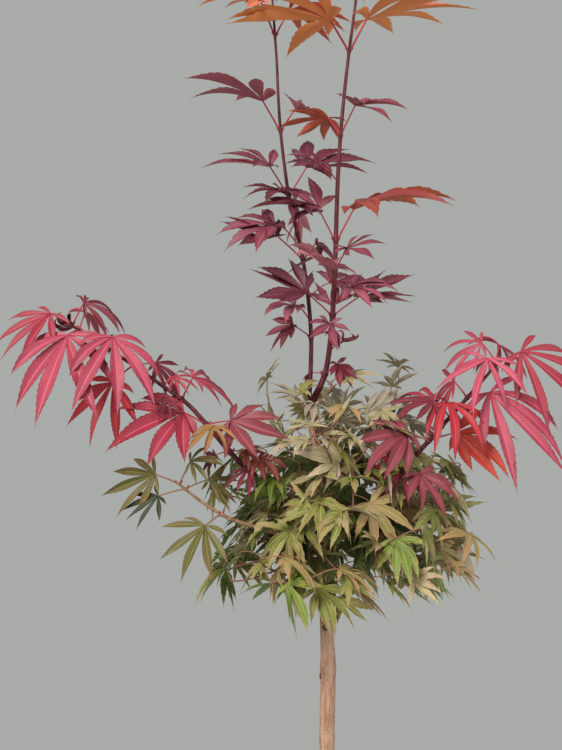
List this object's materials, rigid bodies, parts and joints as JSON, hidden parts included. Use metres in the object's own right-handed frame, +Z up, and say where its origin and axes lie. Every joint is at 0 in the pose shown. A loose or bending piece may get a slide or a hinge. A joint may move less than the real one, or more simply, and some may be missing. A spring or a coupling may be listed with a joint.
{
  "type": "japanese maple tree",
  "caption": "Young japanese maple grafted on a slim straight stem: low round head of green leaves, upright purple leaders and long crimson side shoots.",
  "frame": {"origin": "centre of the flat cut under the stem, at ground level", "axes": "+Z is up along the stem, -Y is the front, +X is to the right seen from the front"},
  "size_m": [0.5466, 0.3148, 1.6337],
  "materials": {
    "bark": "smooth tan-pink young bark with fine lenticels and low rings",
    "young_bark": "smooth dark purple-red bark of this year's shoots",
    "green_bark": "smooth brown-green bark of the inner boughs",
    "green_leaf": "matt green leaves bronzing to tan and pink at their edges",
    "red_leaf": "matt crimson leaves",
    "purple_leaf": "matt dark purple leaves, orange beneath at the tops"
  },
  "bodies": {
    "root": {"bough_back_left": "green_bark", "bough_back_right": "green_bark", "bough_front": "green_bark", "bough_right": "green_bark", "crown_low_back": "green_leaf", "crown_low_back_left": "green_leaf", "crown_low_back_right": "green_leaf", "crown_low_front": "green_leaf", "crown_low_front_left": "green_leaf", "crown_low_front_right": "green_leaf", "crown_mid_back_left": "green_leaf", "crown_mid_back_right": "green_leaf", "crown_mid_front": "green_leaf", "crown_mid_left": "green_leaf", "crown_mid_right": "green_leaf", "crown_sprig_left": "green_leaf", "crown_sprig_right": "green_leaf", "crown_top_back": "green_leaf", "crown_top_front_left": "green_leaf", "crown_top_right": "green_leaf", "green_left_bough": "green_bark", "green_left_leaves_1": "green_leaf", "green_left_leaves_2": "green_leaf", "green_left_leaves_3": "green_leaf", "leader_bough": "green_bark", "leader_left": "young_bark", "leader_left_leaves_1": "purple_leaf", "leader_left_leaves_2": "purple_leaf", "leader_left_leaves_3": "purple_leaf", "leader_left_leaves_4": "purple_leaf", "leader_left_leaves_5": "purple_leaf", "leader_left_leaves_6": "purple_leaf", "leader_left_leaves_7": "purple_leaf", "leader_right": "young_bark", "leader_right_leaves_1": "purple_leaf", "leader_right_leaves_2": "purple_leaf", "leader_right_leaves_3": "purple_leaf", "leader_right_leaves_4": "purple_leaf", "leader_right_leaves_5": "purple_leaf", "leader_right_leaves_6": "purple_leaf", "leader_right_leaves_7": "purple_leaf", "leader_right_leaves_8": "purple_leaf", "leader_right_leaves_9": "purple_leaf", "red_left_bough": "young_bark", "red_left_leaves_1": "red_leaf", "red_left_leaves_2": "red_leaf", "red_left_leaves_3": "red_leaf", "red_left_leaves_4": "red_leaf", "red_left_leaves_5": "red_leaf", "red_left_leaves_6": "red_leaf", "red_left_leaves_7": "red_leaf", "red_right_bough": "young_bark", "red_right_leaves_1": "red_leaf", "red_right_leaves_2": "red_leaf", "red_right_leaves_3": "red_leaf", "red_right_leaves_4": "red_leaf", "red_right_leaves_5": "red_leaf", "red_right_leaves_6": "red_leaf", "stem": "bark"}
  },
  "joints": []
}
